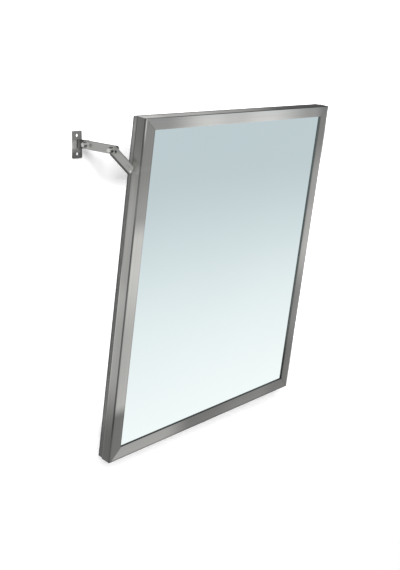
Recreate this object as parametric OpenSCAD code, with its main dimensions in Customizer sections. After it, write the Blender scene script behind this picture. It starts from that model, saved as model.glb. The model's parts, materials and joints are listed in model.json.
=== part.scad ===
// Tilting wall mirror: a mitred steel frame hung on two low hinges and stayed by two folding arms.
// Millimetres. +Z is up, the wall is the plane y = 0 and the room lies on the -Y side.
// The origin is the middle of the four screw holes of the two lower wall brackets.

/* [Mirror frame] */
// Width of the frame over its outside
frame_w = 500; // [400:10:700]
// Height of the frame over its outside
frame_h = 600; // [560:10:800]
// Width of the front face of the side members and the lower member
face_w = 23; // [18:0.5:30]
// Width of the front face of the upper member
top_face_w = 19.5; // [18:0.5:30]
// Depth of the frame's side flange
flange_d = 20.5; // [20:0.5:26]
// Thickness of the frame's steel sheet
sheet_t = 1.2; // [1:0.1:1.5]
// Outside radius of the bend between face and flange
bend_r = 2.2; // [1.8:0.1:3]
// Depth from the front face to the back of the pan
total_d = 30; // [28:0.5:40]

/* [Glass and backing] */
// Thickness of the gasket between the frame's face and the glass
gasket_t = 1.5; // [1:0.1:2]
// Thickness of the mirror glass
glass_t = 5; // [4:1:6]
// Thickness of the foam cushion behind the glass
cushion_t = 2; // [1:0.5:3]
// Thickness of the backing board
board_t = 4; // [3:0.5:5]
// Thickness of the steel sheet of the back pan
pan_t = 1; // [0.8:0.1:1.2]
// Height of the two crossbars inside the pan
crossbar_h = 40; // [36:1:60]

/* [Lower hinges] */
// Lean of the mirror from upright, in degrees
tilt = 9.4; // [6:0.1:9.8]
// Distance from the wall to the hinge axis
axis_out = 31; // [28:1:32]
// Distance from the back of the pan to the hinge axis
axis_gap = 9; // [8.5:0.5:10]
// Height of the hinge axis above the frame's lower edge
axis_up = 14; // [12:1:18]
// Distance from the middle of the mirror to each hinge
hinge_x = 150; // [100:10:170]
// Radius of the hinge pins
pin_r = 3; // [2.5:0.5:3.5]
// Radius of the round end of each hinge ear
ear_r = 8; // [7:0.5:8]
// Height of a lower wall bracket
bracket_h = 54; // [50:1:70]
// Distance between the two screw holes of a lower wall bracket
bracket_pitch = 34; // [32:1:38]

/* [Folding arms] */
// Height of the first pivot of an arm above the hinge axis
arm_up = 523.5; // [518:0.5:528]
// Distance from the wall to the first pivot of an arm
arm_out = 28; // [26:1:30]
// Length of the long link between its pivots
long_len = 67.5; // [64:0.5:70]
// Length of the short link between its pivots
short_len = 43; // [42:0.5:52]
// Distance from the elbow to the end of the long link
long_tail = 10.5; // [8:0.5:12]
// Distance from the pivot on the frame to the end of the short link
short_tail = 11; // [8:0.5:12]
// Width of the long link
long_w = 15; // [14:0.5:17]
// Width of the short link
short_w = 19; // [14:0.5:20]
// Thickness of both links
link_t = 2.4; // [2:0.1:2.5]
// Height of the arm's pivot on the frame above the frame's lower edge
pivot_up = 518; // [506:0.5:520]
// Depth of the arm's pivot on the frame behind the front face
pivot_back = 21.5; // [20:0.5:24]
// Width of an upper wall plate
plate_w = 20; // [14:1:24]
// Height of an upper wall plate
plate_h = 46; // [42:1:50]
// How far the middle of an upper wall plate lies outwards from its lug
plate_shift = 1; // [0:0.5:3]
// How far the middle of an upper wall plate lies below its lug
plate_drop = 1.5; // [0:0.5:3]
// Thickness of an upper wall plate
plate_t = 3; // [2.5:0.5:6]
// Distance between the two screw holes of an upper wall plate
plate_pitch = 31; // [29:1:32]
// Radius of the screw holes of the upper wall plates
plate_hole_r = 3; // [2.25:0.25:3.25]
// Radius of the screw holes of the lower wall brackets
bracket_hole_r = 2.75; // [2.25:0.25:3]
// Radius of the bolts and studs of the arms
bolt_r = 3; // [2.5:0.5:3]

/* [Hidden] */
$fn = 48;

left = -1;
right = 1;
steel = [0.66, 0.65, 0.63];
dull_steel = [0.45, 0.45, 0.45];
bright_steel = [0.8, 0.8, 0.8];
zinc = [0.56, 0.58, 0.6];
silver_glass = [0.8, 0.88, 0.9];
black_rubber = [0.06, 0.06, 0.06];
foam_grey = [0.4, 0.4, 0.42];
board_brown = [0.42, 0.3, 0.2];
nylon = [0.85, 0.84, 0.78];

// Depths of the layers inside the frame, from the front face backwards
gasket_front = sheet_t;
glass_front = gasket_front + gasket_t;
cushion_front = glass_front + glass_t;
board_front = cushion_front + cushion_t;
board_back = board_front + board_t;
pan_floor = total_d - pan_t;
pan_rim = 5;

// Distances inwards from the frame's outside
sight_setback = 0.4;
gasket_edge = sheet_t + pan_t + 0.2;
glass_edge = 3;
cushion_edge = 4;
pan_inside = sheet_t + pan_t;
crossbar_t = 1.2;
crossbar_low = 44;
doubler_t = 3;
doubler_h = 50;
crossbar_half = frame_w / 2 - pan_inside - doubler_t - 0.3;

// Lower hinges
running_gap = 0.05;
leaf_half = 17;
leaf_t = 2.5;
leaf_low = 3;
leaf_high = 62;
ear_gap = 0.4;
bracket_t = 3;
ear_half = leaf_half + ear_gap;
bracket_half = ear_half + bracket_t;
pin_head_r = 5;
pin_head_t = 2;
ring_t = 0.8;
ring_r = 5;
ring_groove_r = 2.2;
ring_mouth = 3.4;
pin_tail = 1.6;
leaf_screw_x = 8;
leaf_screw_z = [crossbar_low - 10, crossbar_low + 10];
leaf_screw_r = 2.5;
leaf_head_r = 4.4;
leaf_head_t = 2.2;
leaf_nut_r = 3.6;
leaf_nut_t = 4;
screw_gap = 0.1;

// Screws through the bottom flange into the pan
pan_screw_x = [60, 190];
pan_screw_r = 2;
pan_screw_y = 17;
pan_head_r = 3.4;
pan_head_t = 1.4;
pan_nut_r = 3.2;
pan_nut_t = 3.2;

// Stations of an arm's layers, measured outwards from the frame's side face: the plate's lug, then the
// long link, then the short link, with a friction disc between each two
side_gap = 0.3;
lug_t = 3;
lug_out = 2.7;
lug_in = lug_out - lug_t;
disc_t = 0.75;
long_in = lug_out + disc_t + running_gap;
long_out = long_in + link_t;
short_in = long_out + running_gap + disc_t;
short_out = short_in + link_t;
washer_t = 0.95;
nut_hex_t = 4;
nut_collar_t = 1.5;
nut_collar_r = 4.3;
nut_t = nut_hex_t + nut_collar_t;
wall_washer_in = long_out + running_gap;
wall_nut_in = wall_washer_in + washer_t;
wall_bolt_end = wall_nut_in + nut_t + 0.6;
elbow_washer_in = short_out;
elbow_nut_in = elbow_washer_in + washer_t;
elbow_stud_end = elbow_nut_in + nut_t + 3;
stud_head_in = side_gap + 0.2;
stud_head_out = long_in - running_gap;
stud_head_r = 5.5;
bolt_head_t = 4;
nut_flat = 10;
nut_r = nut_flat / 2 / cos(30);
washer_r = 6.2;
washer_bore = bolt_r + 0.2;
disc_r = 6.2;
lug_mid = (lug_in + lug_out) / 2;
lug_r = long_w / 2;
long_corner = 4.5;
short_corner = 6;
elbow_tail = 6.5;
plate_corner = 1.5;
bracket_corner = 4;
pivot_pin_r = 2.5;
pivot_shoulder_r = 3.5;
pivot_head_r = 3.2;
pivot_head_t = 1.6;

// The arm in side view. Points are [y, z]; angles turn from the room (-Y) upwards.
back_of_axis = total_d + axis_gap;
pivot_ahead = back_of_axis - pivot_back;
pivot_above = pivot_up - axis_up;
frame_pivot = [
    -axis_out - pivot_above * sin(tilt) - pivot_ahead * cos(tilt),
    pivot_above * cos(tilt) - pivot_ahead * sin(tilt)
];
wall_pivot = [-arm_out, arm_up];
span = norm(frame_pivot - wall_pivot);
span_angle = atan2(frame_pivot[1] - wall_pivot[1], wall_pivot[0] - frame_pivot[0]);
long_angle = span_angle + acos((long_len ^ 2 + span ^ 2 - short_len ^ 2) / (2 * long_len * span));
elbow = wall_pivot + long_len * [-cos(long_angle), sin(long_angle)];

// ---- Placing ----

// Local frame of the mirror: y = 0 is the front face and +y the back, z = 0 the frame's lower edge
module on_mirror() {
    translate([0, -axis_out, 0])
        rotate([tilt, 0, 0])
            translate([0, -back_of_axis, -axis_up])
                children();
}

// Builds the right-hand piece, or its mirror image on the left
module on_side(side) {
    if (side == right) {
        children();
    } else {
        mirror([1, 0, 0]) children();
    }
}

// Extrudes a side-view outline along X from x to x + t
module side_slab(x, t) {
    translate([x, 0, 0])
        rotate([90, 0, 90])
            linear_extrude(t)
                children();
}

// A rod along X between two stations, at a [y, z] point
module cross_rod(x0, x1, at, r) {
    translate([x0, at[0], at[1]])
        rotate([0, 90, 0])
            cylinder(h = x1 - x0, r = r);
}

// A rod along the mirror's depth between two depths
module depth_rod(y0, y1, x, z, r) {
    translate([x, y1, z])
        rotate([90, 0, 0])
            cylinder(h = y1 - y0, r = r);
}

module rounded_plate(w, h, r) {
    square([w, h - 2 * r], center = true);
    square([w - 2 * r, h], center = true);
    for (sx = [-1, 1], sz = [-1, 1]) {
        translate([sx * (w / 2 - r), sz * (h / 2 - r)]) circle(r);
    }
}

// ---- Frame, glass and backing ----

// Section of a frame member: x is the distance inwards, y the depth
module angle_section(face) {
    translate([bend_r, 0]) square([face - bend_r, sheet_t]);
    translate([0, bend_r]) square([sheet_t, flange_d - bend_r]);
    intersection() {
        square(bend_r);
        translate([bend_r, bend_r]) {
            difference() {
                circle(bend_r);
                circle(bend_r - sheet_t);
            }
        }
    }
}

// A bottom member of length len. Each mitre runs to the frame's inner corner, which lies as far in as the
// face of the member that it meets there is wide.
module mitred_member(len, face, start_face, end_face) {
    half = len / 2;
    reach = face + 1;
    start_in = reach * start_face / face;
    end_in = reach * end_face / face;
    intersection() {
        translate([-half, 0, 0])
            rotate([90, 0, 90])
                linear_extrude(len)
                    mirror([1, -1]) angle_section(face);
        translate([0, flange_d + 1, 0])
            rotate([90, 0, 0])
                linear_extrude(flange_d + 2)
                    polygon([[-half, 0], [half, 0], [half - end_in, reach], [start_in - half, reach]]);
    }
}

// Turns a bottom member about the middle of the frame
module frame_member(turn, reach) {
    color(steel)
        on_mirror()
            translate([0, 0, frame_h / 2])
                rotate([0, turn, 0])
                    translate([0, 0, -reach])
                        children();
}

module frame_top() {
    frame_member(180, frame_h / 2) mitred_member(frame_w, top_face_w, face_w, face_w);
}

module frame_bottom() {
    difference() {
        frame_member(0, frame_h / 2) mitred_member(frame_w, face_w, face_w, face_w);
        on_mirror() pan_screw_holes();
    }
}

module frame_left() {
    frame_member(90, frame_w / 2) mitred_member(frame_h, face_w, top_face_w, face_w);
}

module frame_right() {
    frame_member(-90, frame_w / 2) mitred_member(frame_h, face_w, face_w, top_face_w);
}

// A sheet across the mirror between two depths, inset from the frame's outside
module layer(inset, y0, y1) {
    translate([inset - frame_w / 2, y0, inset])
        cube([frame_w - 2 * inset, y1 - y0, frame_h - 2 * inset]);
}

module glazing_gasket() {
    inset = face_w - sight_setback;
    top_inset = top_face_w - sight_setback;
    color(black_rubber)
        on_mirror()
            difference() {
                layer(gasket_edge, gasket_front, glass_front);
                translate([inset - frame_w / 2, gasket_front - 1, inset])
                    cube([frame_w - 2 * inset, gasket_t + 2, frame_h - inset - top_inset]);
            }
}

module mirror_glass() {
    color(silver_glass) on_mirror() layer(glass_edge, glass_front, cushion_front);
}

module cushion_sheet() {
    color(foam_grey) on_mirror() layer(cushion_edge, cushion_front, board_front);
}

module backing_board() {
    color(board_brown) on_mirror() layer(glass_edge, board_front, board_back);
}

module leaf_screw_places() {
    for (side = [left, right], sx = [-1, 1], z = leaf_screw_z) {
        translate([side * hinge_x + sx * leaf_screw_x, 0, z]) children();
    }
}

module leaf_screw_holes() {
    leaf_screw_places()
        depth_rod(board_back, total_d + leaf_t + 1, 0, 0, leaf_screw_r + screw_gap);
}

module pan_screw_places() {
    for (side = [left, right], x = pan_screw_x) {
        translate([side * x, pan_screw_y, 0]) children();
    }
}

module pan_screw_holes() {
    pan_screw_places()
        translate([0, 0, -1]) cylinder(h = pan_inside + 2, r = pan_screw_r + screw_gap);
}

module back_pan() {
    color(zinc)
        on_mirror()
            difference() {
                layer(sheet_t, pan_rim, total_d);
                layer(pan_inside, pan_rim - 1, pan_floor);
                leaf_screw_holes();
                pan_screw_holes();
            }
}

// U-shaped bar across the pan, its web against the pan's floor
module crossbar(z) {
    depth = pan_floor - board_back;
    translate([-crossbar_half, board_back, z - crossbar_h / 2]) {
        difference() {
            cube([2 * crossbar_half, depth, crossbar_h]);
            translate([-1, -1, crossbar_t])
                cube([2 * crossbar_half + 2, depth - crossbar_t + 1, crossbar_h - 2 * crossbar_t]);
        }
    }
}

module crossbar_upper() {
    color(zinc) on_mirror() crossbar(pivot_up);
}

module crossbar_lower() {
    color(zinc)
        on_mirror()
            difference() {
                crossbar(crossbar_low);
                leaf_screw_holes();
            }
}

// Plate behind the pan's side wall that backs the arm's pivot
module pivot_doubler(side) {
    color(zinc)
        on_side(side)
            on_mirror()
                translate([frame_w / 2 - pan_inside - doubler_t, board_back, pivot_up - doubler_h / 2])
                    cube([doubler_t, pan_floor - board_back, doubler_h]);
}

module pan_screws() {
    color(bright_steel)
        on_mirror()
            pan_screw_places() {
                translate([0, 0, -pan_head_t]) cylinder(h = pan_head_t, r = pan_head_r);
                cylinder(h = pan_inside + pan_nut_t + 0.5, r = pan_screw_r);
            }
}

module pan_nuts() {
    color(zinc)
        on_mirror()
            pan_screw_places()
                translate([0, 0, pan_inside]) {
                    difference() {
                        cylinder(h = pan_nut_t, r = pan_nut_r);
                        translate([0, 0, -1]) cylinder(h = pan_nut_t + 2, r = pan_screw_r);
                    }
                }
}

// ---- Lower hinges ----

// Outline of a hinge ear: a bar from y0 to the axis with a round end, bored for the pin
module ear_outline(y0, axis, bore) {
    difference() {
        union() {
            translate([min(y0, axis[0]), axis[1] - ear_r]) square([abs(axis[0] - y0), 2 * ear_r]);
            translate(axis) circle(ear_r);
        }
        translate(axis) circle(bore);
    }
}

module wall_bracket(side) {
    color(zinc)
        on_side(side)
            translate([hinge_x, 0, 0]) {
                rotate([90, 0, 0])
                    linear_extrude(bracket_t)
                        difference() {
                            rounded_plate(2 * bracket_half, bracket_h, bracket_corner);
                            for (sz = [-1, 1]) {
                                translate([0, sz * bracket_pitch / 2]) circle(bracket_hole_r);
                            }
                        }
                for (x = [-bracket_half, ear_half]) {
                    side_slab(x, bracket_t) ear_outline(-bracket_t, [-axis_out, 0], pin_r);
                }
            }
}

module hinge_leaf(side) {
    color(zinc)
        on_side(side)
            on_mirror()
                difference() {
                    translate([hinge_x, 0, 0]) {
                        translate([-leaf_half, total_d, leaf_low])
                            cube([2 * leaf_half, leaf_t, leaf_high - leaf_low]);
                        for (x = [-leaf_half, leaf_half - leaf_t]) {
                            side_slab(x, leaf_t)
                                ear_outline(total_d + leaf_t, [back_of_axis, axis_up], pin_r + running_gap);
                        }
                    }
                    leaf_screw_holes();
                }
}

module leaf_screws() {
    head_y = total_d + leaf_t;
    color(bright_steel)
        on_mirror()
            leaf_screw_places() {
                depth_rod(head_y, head_y + leaf_head_t, 0, 0, leaf_head_r);
                depth_rod(pan_floor - crossbar_t - leaf_nut_t - 0.5, head_y, 0, 0, leaf_screw_r);
            }
}

module leaf_nuts() {
    nut_back = pan_floor - crossbar_t;
    color(zinc)
        on_mirror()
            leaf_screw_places()
                difference() {
                    depth_rod(nut_back - leaf_nut_t, nut_back, 0, 0, leaf_nut_r);
                    depth_rod(nut_back - leaf_nut_t - 1, nut_back + 1, 0, 0, leaf_screw_r);
                }
}

module hinge_pin(side) {
    tail = -bracket_half - ring_t - pin_tail;
    color(bright_steel)
        on_side(side)
            translate([hinge_x, 0, 0])
                difference() {
                    union() {
                        cross_rod(tail, bracket_half, [-axis_out, 0], pin_r);
                        cross_rod(bracket_half, bracket_half + pin_head_t, [-axis_out, 0], pin_head_r);
                    }
                    difference() {
                        cross_rod(-bracket_half - ring_t, -bracket_half, [-axis_out, 0], pin_r + 1);
                        cross_rod(-bracket_half - ring_t, -bracket_half, [-axis_out, 0], ring_groove_r);
                    }
                }
}

module pin_rings() {
    color(dull_steel)
        for (side = [left, right]) {
            on_side(side)
                side_slab(hinge_x - bracket_half - ring_t, ring_t)
                    translate([-axis_out, 0])
                        difference() {
                            circle(ring_r);
                            circle(ring_groove_r);
                            translate([-ring_mouth / 2, -ring_r - 1]) square([ring_mouth, ring_r + 1]);
                        }
        }
}

// ---- Folding arms ----

// Stations along X for a layer of an arm, outside the frame's right side
module arm_slab(d0, d1) {
    side_slab(frame_w / 2 + d0, d1 - d0) children();
}

module arm_rod(d0, d1, at, r) {
    cross_rod(frame_w / 2 + d0, frame_w / 2 + d1, at, r);
}

module wall_plate(side) {
    color(dull_steel)
        on_side(side) {
            translate([frame_w / 2 + lug_mid + plate_shift, 0, arm_up - plate_drop])
                rotate([90, 0, 0])
                    linear_extrude(plate_t)
                        difference() {
                            rounded_plate(plate_w, plate_h, plate_corner);
                            for (sz = [-1, 1]) {
                                translate([0, sz * plate_pitch / 2]) circle(plate_hole_r);
                            }
                        }
            arm_slab(lug_in, lug_out)
                difference() {
                    union() {
                        translate([wall_pivot[0], arm_up - lug_r]) square([arm_out - plate_t, 2 * lug_r]);
                        translate(wall_pivot) circle(lug_r);
                    }
                    translate(wall_pivot) circle(bolt_r);
                }
        }
}

// Flat link from one pivot to the other, with two bores. An end is [radius of its bore, distance from the bore
// to the end of the link, corner radius].
module link_outline(from, to, width, first, last) {
    run = to - from;
    near = first[2] - first[1];
    far = norm(run) + last[1] - last[2];
    translate(from)
        rotate(atan2(run[1], run[0]))
            difference() {
                hull()
                    for (side = [-1, 1]) {
                        translate([near, side * (width / 2 - first[2])]) circle(first[2]);
                        translate([far, side * (width / 2 - last[2])]) circle(last[2]);
                    }
                circle(first[0]);
                translate([norm(run), 0]) circle(last[0]);
            }
}

module long_link(side) {
    loose = bolt_r + running_gap;
    color(steel)
        on_side(side)
            arm_slab(long_in, long_out)
                link_outline(
                    wall_pivot, elbow, long_w,
                    [loose, long_w / 2, long_w / 2], [loose, long_tail, long_corner]
                );
}

module short_link(side) {
    color(steel)
        on_side(side)
            arm_slab(short_in, short_out)
                link_outline(
                    elbow, frame_pivot, short_w,
                    [bolt_r, elbow_tail, short_w / 2], [pivot_pin_r, short_tail, short_corner]
                );
}

// Hexagon with a corner up, as a slab between two stations
module hexagon(d0, d1, at, r) {
    arm_slab(d0, d1) translate(at) rotate(30) circle(r, $fn = 6);
}

module wall_pivot_bolt(side) {
    color(bright_steel)
        on_side(side) {
            hexagon(lug_in - bolt_head_t, lug_in, wall_pivot, nut_r);
            arm_rod(lug_in, wall_bolt_end, wall_pivot, bolt_r);
        }
}

module elbow_stud(side) {
    color(bright_steel)
        on_side(side) {
            arm_rod(stud_head_in, stud_head_out, elbow, stud_head_r);
            arm_rod(stud_head_out, elbow_stud_end, elbow, bolt_r);
        }
}

module lock_nut(side, d0, at) {
    color(bright_steel)
        on_side(side)
            difference() {
                union() {
                    hexagon(d0, d0 + nut_hex_t, at, nut_r);
                    arm_rod(d0 + nut_hex_t, d0 + nut_t, at, nut_collar_r);
                }
                arm_rod(d0 - 1, d0 + nut_t + 1, at, bolt_r);
            }
}

module ring_disc(side, d0, d1, at, r) {
    on_side(side)
        difference() {
            arm_rod(d0, d1, at, r);
            arm_rod(d0 - 1, d1 + 1, at, washer_bore);
        }
}

module washer(side, d0, at) {
    color(bright_steel) ring_disc(side, d0, d0 + washer_t, at, washer_r);
}

module friction_disc(side, d0, at) {
    color(nylon) ring_disc(side, d0, d0 + disc_t, at, disc_r);
}

module frame_pivot_pin(side) {
    color(bright_steel)
        on_side(side) {
            arm_rod(side_gap, short_in, frame_pivot, pivot_shoulder_r);
            arm_rod(short_in, short_out, frame_pivot, pivot_pin_r);
            translate([frame_w / 2 + short_out, frame_pivot[0], frame_pivot[1]])
                rotate([0, 90, 0])
                    cylinder(h = pivot_head_t, r1 = pivot_head_r, r2 = pivot_pin_r);
        }
}

// ---- Nodes ----

frame_top();
frame_bottom();
frame_left();
frame_right();
glazing_gasket();
mirror_glass();
cushion_sheet();
backing_board();
back_pan();
crossbar_upper();
crossbar_lower();
pivot_doubler(left);  // pivot_doubler_left
pivot_doubler(right);  // pivot_doubler_right
hinge_leaf(left);  // hinge_leaf_left
hinge_leaf(right);  // hinge_leaf_right
leaf_screws();
leaf_nuts();
pan_screws();
pan_nuts();
wall_bracket(left);  // wall_bracket_left
wall_bracket(right);  // wall_bracket_right
hinge_pin(left);  // hinge_pin_left
hinge_pin(right);  // hinge_pin_right
pin_rings();
wall_plate(left);  // wall_plate_left
wall_plate(right);  // wall_plate_right
wall_pivot_bolt(left);  // wall_pivot_bolt_left
wall_pivot_bolt(right);  // wall_pivot_bolt_right
lock_nut(left, wall_nut_in, wall_pivot);  // wall_pivot_nut_left
lock_nut(right, wall_nut_in, wall_pivot);  // wall_pivot_nut_right
washer(left, wall_washer_in, wall_pivot);  // wall_washer_left
washer(right, wall_washer_in, wall_pivot);  // wall_washer_right
friction_disc(left, lug_out, wall_pivot);  // wall_friction_disc_left
friction_disc(right, lug_out, wall_pivot);  // wall_friction_disc_right
long_link(left);  // long_link_left
long_link(right);  // long_link_right
short_link(left);  // short_link_left
short_link(right);  // short_link_right
elbow_stud(left);  // elbow_stud_left
elbow_stud(right);  // elbow_stud_right
lock_nut(left, elbow_nut_in, elbow);  // elbow_nut_left
lock_nut(right, elbow_nut_in, elbow);  // elbow_nut_right
washer(left, elbow_washer_in, elbow);  // elbow_washer_left
washer(right, elbow_washer_in, elbow);  // elbow_washer_right
friction_disc(left, short_in - disc_t, elbow);  // elbow_friction_disc_left
friction_disc(right, short_in - disc_t, elbow);  // elbow_friction_disc_right
frame_pivot_pin(left);  // frame_pivot_pin_left
frame_pivot_pin(right);  // frame_pivot_pin_right
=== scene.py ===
"""Finish of a tilting wall mirror: steel frame, glass, galvanised back, low hinges and folding side arms.

Metres. +Z is up, the wall is the plane y = 0 and the room lies on the -Y side. The mirror's own frame has its
origin in the middle of the lower edge of the front face: x across, y towards the wall, z up along the glass.
"""
import json
import math

import bmesh
import bpy
from mathutils import Matrix, Vector


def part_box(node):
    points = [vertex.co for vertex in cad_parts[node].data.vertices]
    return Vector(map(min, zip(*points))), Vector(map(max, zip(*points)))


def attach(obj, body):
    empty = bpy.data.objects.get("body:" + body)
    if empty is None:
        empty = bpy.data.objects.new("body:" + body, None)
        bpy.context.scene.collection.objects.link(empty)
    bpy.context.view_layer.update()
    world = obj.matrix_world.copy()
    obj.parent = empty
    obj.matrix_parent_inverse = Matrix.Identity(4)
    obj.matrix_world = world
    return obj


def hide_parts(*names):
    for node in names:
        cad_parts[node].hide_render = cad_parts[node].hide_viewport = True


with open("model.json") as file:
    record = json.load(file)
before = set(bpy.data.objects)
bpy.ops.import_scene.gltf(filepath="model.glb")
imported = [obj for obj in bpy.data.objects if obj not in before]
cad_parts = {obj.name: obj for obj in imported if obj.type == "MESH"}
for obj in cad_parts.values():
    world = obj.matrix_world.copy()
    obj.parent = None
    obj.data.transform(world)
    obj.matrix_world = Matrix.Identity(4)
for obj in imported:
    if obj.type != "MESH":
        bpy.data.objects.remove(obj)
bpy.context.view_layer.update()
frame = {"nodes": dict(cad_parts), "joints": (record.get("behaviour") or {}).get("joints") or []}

MM = 0.001

# ---- Sizes ----

FRAME_W = 500 * MM
FRAME_H = 600 * MM
FACE_W = 23 * MM
TOP_FACE_W = 19.5 * MM
FLANGE_D = 20.5 * MM
SHEET_T = 1.2 * MM
BEND_R = 2.2 * MM
TOTAL_D = 30 * MM
TILT = math.radians(9.4)
AXIS_OUT = 31 * MM
AXIS_GAP = 9 * MM
AXIS_UP = 14 * MM

LEAF_T = 2.5 * MM
CROSSBAR_UP = (44 * MM, 518 * MM)
PLATE_T = 3 * MM
PLATE_DROP = 1.5 * MM
LUG_T = 3 * MM
LUG_MID = 251.2 * MM
LUG_HALF = 7.5 * MM
LONG_LINK_W = 15 * MM
SHORT_LINK_W = 19 * MM
LINK_INSIDE = 257 * MM
SPOT_PITCH = 60 * MM
PAN_SCREW_DEPTH = 17 * MM
BEAD_RADIUS = 1.3 * MM
BEAD_PITCH = 1.0 * MM
BEAD_SINK = 0.3 * MM
BEAD_SEED = 3

# How far the edges of each piece are rounded
MEMBER_EDGE = 0.22 * MM
PAN_EDGE = 0.48 * MM
LEAF_EDGE = 0.3 * MM
BRACKET_EDGE = 0.4 * MM
PLATE_EDGE = 0.35 * MM
LINK_EDGE = 0.35 * MM
SCREW_EDGE = 0.2 * MM

# Turned pieces and their threads are given in millimetres
THREAD_PITCH = 1.0
THREAD_STEP = 0.125
THREAD_DEPTH = 0.3

SIDES = {"left": -1, "right": 1}

ON_MIRROR = (
    Matrix.Translation((0, -AXIS_OUT, 0))
    @ Matrix.Rotation(TILT, 4, "X")
    @ Matrix.Translation((0, -TOTAL_D - AXIS_GAP, -AXIS_UP))
)

# ---- The camera of the photograph ----

CAMERA_AT = (-1.2687, -1.2026, 0.6654)
CAMERA_HEADING = math.radians(49.314)
CAMERA_PITCH = math.radians(-7.207)
FOCAL_PX = 931.6
CENTRE_PX = (225.1, 175.9)
IMAGE_PX = (400, 570)
SENSOR = 36.0

# ---- Colours ----

FRAME_STEEL = (0.60, 0.595, 0.575)
LONG_LINK_STEEL = (0.56, 0.555, 0.54)
SHORT_LINK_STEEL = (0.54, 0.54, 0.52)
PLATE_STEEL = (0.31, 0.31, 0.30)
GROUND_STEEL = (0.47, 0.47, 0.455)
NUT_STEEL = (0.60, 0.60, 0.58)
SPRING_STEEL = (0.20, 0.20, 0.21)
PIN_STEEL = (0.55, 0.55, 0.54)
WELD_STEEL = (0.16, 0.16, 0.16)
BRIGHT_ZINC = (0.90, 0.89, 0.86)
PAN_ZINC = (0.215, 0.215, 0.213)
BRACKET_ZINC = (0.42, 0.43, 0.44)
# Painted reflection on the glass: its colour low down and high up
GLASS_LOW = (0.885, 0.96, 0.955)
GLASS_HIGH = (0.812, 0.96, 1.0)
RUBBER = (0.010, 0.010, 0.011)
RUBBER_DUST = (0.03, 0.03, 0.03)
RUBBER_RIGHT_GREY = (0.085, 0.095, 0.09)
FOAM_GREY = (0.30, 0.30, 0.32)
BOARD_BROWN = (0.30, 0.19, 0.11)
NATURAL_NYLON = (0.80, 0.79, 0.72)

# ---- Lighter and darker places, mostly painted sheen and shade ----

# Painted sheen and shade: a level at the start of a piece and its steps from there, each as (from, to,
# change). A frame member has the axis that it runs along (0 is x, 2 is z), and then its face, flange and bend.
SIDE_FLANGE = (0.34, [(0.04, 0.17, 0.61), (0.24, 0.30, 0.12), (0.30, 0.34, -0.12), (0.43, 0.58, -0.51)])
SIDE_BEND = (0.7, [(0.03, 0.08, -0.42), (0.40, 0.46, 0.22)])
LEFT_FACE = (0.31, [(0.082, 0.108, 0.55), (0.22, 0.36, 0.47), (0.40, 0.44, -0.53), (0.44, 0.52, -0.16)])
RIGHT_FACE = (0.27, [(0.08, 0.17, 0.15), (0.20, 0.32, 0.45), (0.38, 0.41, -0.09), (0.46, 0.54, -0.25)])
TOP_FACE = (
    0.79,
    [
        (-0.21, -0.10, 0.82), (-0.09, -0.04, -0.17), (-0.02, 0.05, 0.22), (0.06, 0.20, -0.83),
        (0.20, 0.24, -0.3),
    ],
)
TOP_FLANGE = (1.5, [(-0.23, -0.19, -0.45), (-0.12, -0.05, -0.28), (0.04, 0.11, -0.45), (0.13, 0.2, -0.08)])
BOTTOM_FACE = (0.64, [(-0.125, -0.045, -0.34), (0.0, 0.1, 0.07), (0.15, 0.21, -0.08)])
SHEENS = {
    "frame_left": (2, LEFT_FACE, SIDE_FLANGE, SIDE_BEND),
    "frame_right": (2, RIGHT_FACE, SIDE_FLANGE, SIDE_BEND),
    "frame_top": (0, TOP_FACE, TOP_FLANGE, (0.3, [])),
    "frame_bottom": (0, BOTTOM_FACE, (0.5, []), (0.8, [])),
}
# FACE_SHADE is painted shade on the face, and CORNER_GLINT is a painted glint by the upper corners
FACE_SHADE = 0.4
MITRE_LEVEL = 0.62
CORNER_GLINT = 1.2
RUBBED = 0.36
RUBBED_AHEAD = 10 * MM
RUBBED_RADIUS = (6 * MM, 13 * MM)

# The depth and strength of the painted shade along a link's lower edge, and how much brighter a link's inside
# is painted
LONG_EDGE_SHADE = (0.8 * MM, 0.2)
SHORT_EDGE_SHADE = (4.3 * MM, 0.72)
SHORT_INSIDE = 0.8

# Painted shade and sheen on the pan's side along z and on its top along x
PAN_SIDE = (0.85, [(0.04, 0.075, 0.45), (0.13, 0.16, -0.3), (0.33, 0.38, 0.12), (0.50, 0.53, 0.88)])
PAN_TOP = (
    1.75,
    [(-0.22, -0.17, -0.4), (-0.09, -0.04, -0.3), (0.0, 0.08, -0.3), (0.07, 0.12, -0.35), (0.13, 0.18, -0.1)],
)
PAN_BACK = 1.6
WELD_MARK = 0.38

# Painted highlight and shade on a nut's facets, by their angle in radians
NUT_FACETS = (0.7, [(-1.3, -0.9, -0.3), (-0.1, 0.2, 0.85), (0.6, 0.8, -0.95), (2.2, 2.5, 0.5)])

# ---- Stage and light ----

STAGE_WHITE = (0.8, 0.8, 0.8)
WALL_AT = 0.6 * MM
WALL_TOP = 5
FLOOR_Z = -0.9
WALL_HALF = 6
FLOOR_HALF = 9
WALL_GREY = 0.62
RIGHT_SHADE = 0.6
FLOOR_NEAR = 1.04
FLOOR_FAR_DROP = 0.41
PLAIN_LIFT = 0.28
# Painted light: extra glow on the wall beside the mirror and above its arms, between these heights
BESIDE_LIFT = 0.6
LIFT_FROM = (0.0, 0.05)
LIFT_TO = (0.425, 0.46)
LIFT_ABOVE = (0.507, 0.525)
SKY_LIGHT = 0.19
SKY_LOW = (0.55, 0.60, 0.63)
SKY_HIGH = (0.9, 0.9, 0.9)
LAMP_AIM = Vector((0, -0.08, 0.28))
LAMP_TOWARDS = Vector((-0.62, -0.72, 0.49))
LAMP_DISTANCE = 5.0
LAMP_SIZE = 1.8
LAMP_WATTS = 295


# ---- Node trees as expressions ----


def pick(sockets, key):
    """A socket by its index, identifier or name."""
    if isinstance(key, int):
        return sockets[key]
    for socket in sockets:
        if socket.identifier == key:
            return socket
    return sockets[key]


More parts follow.
